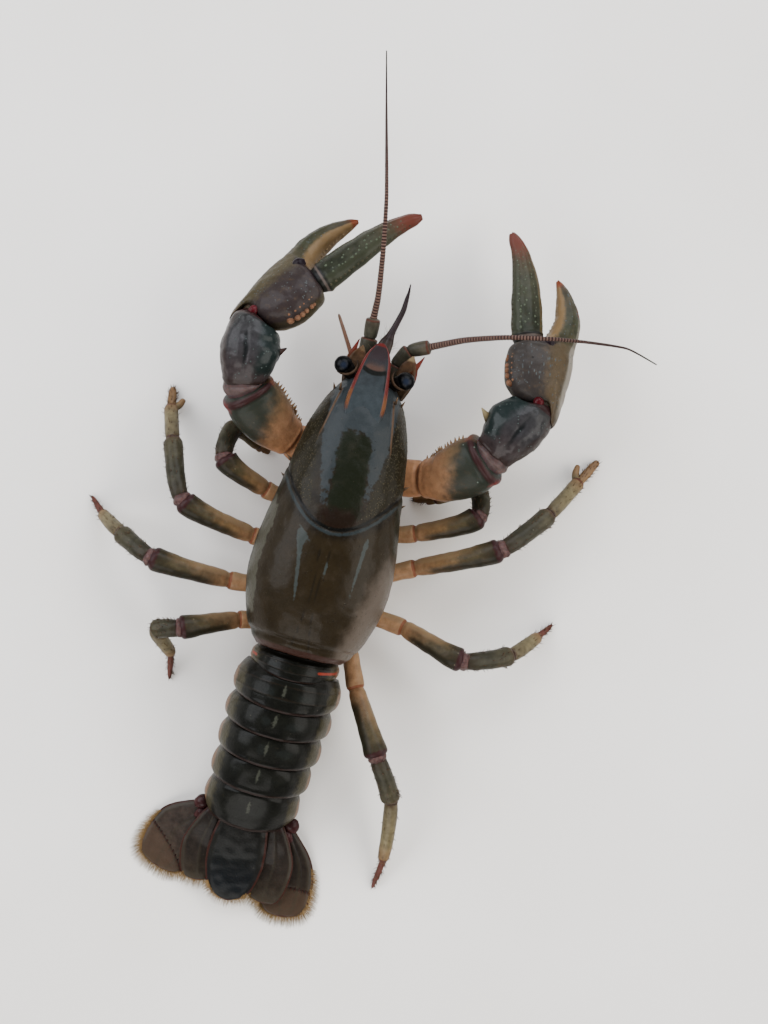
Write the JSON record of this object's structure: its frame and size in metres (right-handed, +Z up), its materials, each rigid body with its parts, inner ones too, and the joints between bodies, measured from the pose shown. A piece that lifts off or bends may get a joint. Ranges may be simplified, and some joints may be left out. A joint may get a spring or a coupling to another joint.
{
  "type": "paintedhand mudbug crayfish",
  "caption": "Still life-size crayfish standing on the floor with open claws held forward, legs spread and tail fan laid flat.",
  "frame": {"origin": "centre of the footprint, on the floor", "axes": "+Y from tail to head, +X to the animal's right, +Z up"},
  "size_m": [0.0736, 0.124, 0.0221],
  "materials": {
    "carapace": "wet olive-brown shell, glossy",
    "abdomen": "wet dark green-grey shell with red-brown edges",
    "tail_fan": "olive-grey plates with maroon rims",
    "claw": "slate and olive shell with pale dots and orange tubercles",
    "claw_arm": "peach to teal shell",
    "leg": "olive shell with peach root",
    "foot": "tan to maroon, bristly",
    "belly": "pale peach",
    "feeler": "banded brown",
    "feeler_base": "grey-green with reddish rims",
    "eye": "glossy blue-black"
  },
  "bodies": {
    "root": {"carapace_front": "carapace", "carapace_rear": "carapace", "sternum": "belly", "abdomen_1": "abdomen", "abdomen_2": "abdomen", "abdomen_3": "abdomen", "abdomen_4": "abdomen", "abdomen_5": "abdomen", "abdomen_6": "abdomen", "telson": "tail_fan", "uropod_left_inner": "tail_fan", "uropod_left_outer": "tail_fan", "uropod_right_inner": "tail_fan", "uropod_right_outer": "tail_fan", "eye_left": "eye", "antennule_left": "feeler", "antenna_base_left": "feeler_base", "antenna_flagellum_left": "feeler", "antennal_scale_left": "feeler_base", "maxilliped_left": "belly", "eye_right": "eye", "antennule_right": "feeler", "antenna_base_right": "feeler_base", "antenna_flagellum_right": "feeler", "antennal_scale_right": "feeler_base", "maxilliped_right": "belly", "claw_left_arm": "claw_arm", "claw_left_wrist": "claw", "claw_left_hand": "claw", "claw_left_finger": "claw", "claw_right_arm": "claw_arm", "claw_right_wrist": "claw", "claw_right_hand": "claw", "claw_right_finger": "claw", "leg_left_1_upper": "leg", "leg_left_1_shin": "leg", "leg_left_1_foot": "foot", "leg_left_2_upper": "leg", "leg_left_2_shin": "leg", "leg_left_2_foot": "foot", "leg_left_3_upper": "leg", "leg_left_3_shin": "leg", "leg_left_3_foot": "foot", "leg_left_4_upper": "leg", "leg_left_4_shin": "leg", "leg_left_4_foot": "foot", "leg_right_1_upper": "leg", "leg_right_1_shin": "leg", "leg_right_1_foot": "foot", "leg_right_2_upper": "leg", "leg_right_2_shin": "leg", "leg_right_2_foot": "foot", "leg_right_3_upper": "leg", "leg_right_3_shin": "leg", "leg_right_3_foot": "foot", "leg_right_4_upper": "leg", "leg_right_4_shin": "leg", "leg_right_4_foot": "foot"}
  },
  "joints": []
}
